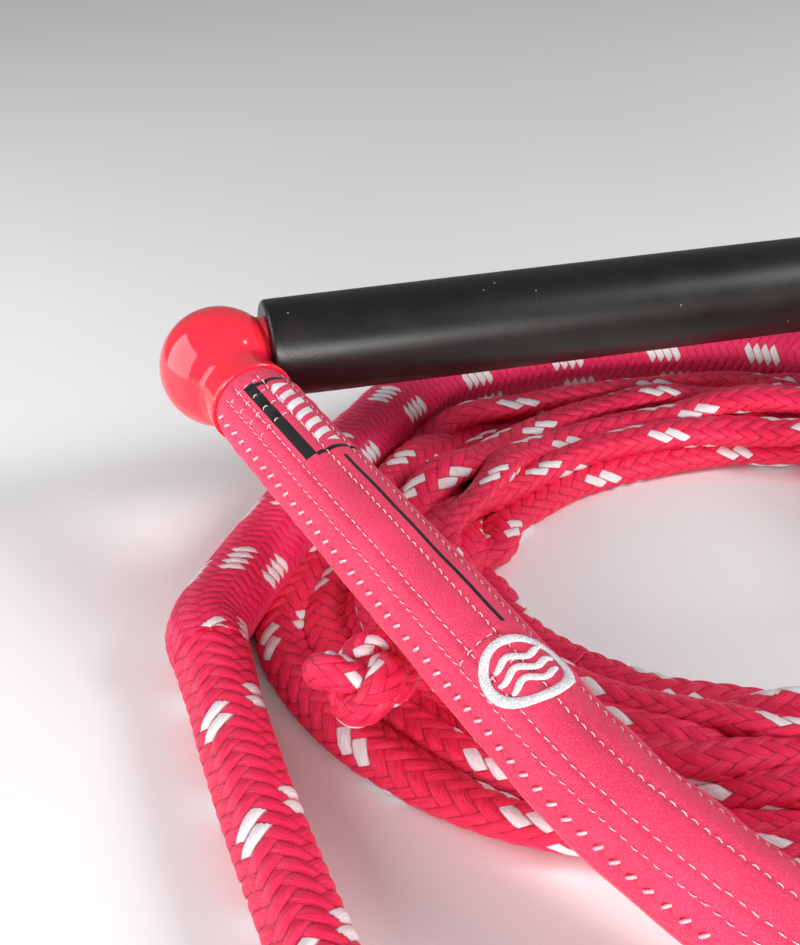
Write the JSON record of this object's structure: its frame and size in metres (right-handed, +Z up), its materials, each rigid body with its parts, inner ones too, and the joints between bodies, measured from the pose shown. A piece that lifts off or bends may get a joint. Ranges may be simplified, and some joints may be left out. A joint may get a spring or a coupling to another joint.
{
  "type": "tow rope handle",
  "caption": "Wake surf tow handle: foam-covered bar with ball end caps, two padded sleeve legs meeting in a yoke, and a thick braided tow rope coiled beneath it.",
  "frame": {"origin": "middle of the handle, yoke end to bar, at the level of the surface it rests on", "axes": "+X along the bar, +Y from the yoke towards the bar, +Z up"},
  "size_m": [0.3424, 0.5157, 0.0798],
  "materials": {
    "grip_foam": "matte moulded foam",
    "bar_tube": "drawn tube",
    "core_rope": "braided",
    "end_cap": "glossy moulded",
    "sleeve_fabric": "fine woven, stitched",
    "float_foam": "closed-cell foam",
    "yoke_rubber": "matte moulded",
    "tow_rope": "hollow braid with tracer yarns",
    "tie_strap": "woven webbing"
  },
  "bodies": {
    "bridle": {"sleeve_flex_left": "sleeve_fabric", "sleeve_flex_right": "sleeve_fabric", "sleeve_cover_left": "sleeve_fabric", "sleeve_cover_right": "sleeve_fabric", "sleeve_float_left": "float_foam", "sleeve_float_right": "float_foam", "bridle_rope_left": "core_rope", "bridle_rope_right": "core_rope", "sleeve_end_left": "yoke_rubber", "sleeve_end_right": "yoke_rubber", "yoke": "yoke_rubber", "lead_rope": "tow_rope", "grab_rope": "tow_rope", "section_knot": "tow_rope", "rope_coil": "tow_rope", "coil_tie": "tie_strap", "main_tail": "tow_rope", "tow_whipping": "yoke_rubber", "tow_eye": "tow_rope"},
    "bar": {"foam_grip": "grip_foam", "bar_tube": "bar_tube", "bar_rope": "core_rope", "end_cap_left": "end_cap", "end_cap_right": "end_cap", "sleeve_cuff_left": "sleeve_fabric", "sleeve_cuff_right": "sleeve_fabric"}
  },
  "joints": [
    {"name": "bar_swing", "type": "hinge", "parent": "bridle", "child": "bar", "pos_m": [0, 0.1416, 0.05516], "axis": [1, 0, 0], "range_deg": [0, 60], "deforming": ["sleeve_flex_left", "sleeve_flex_right"]}
  ]
}
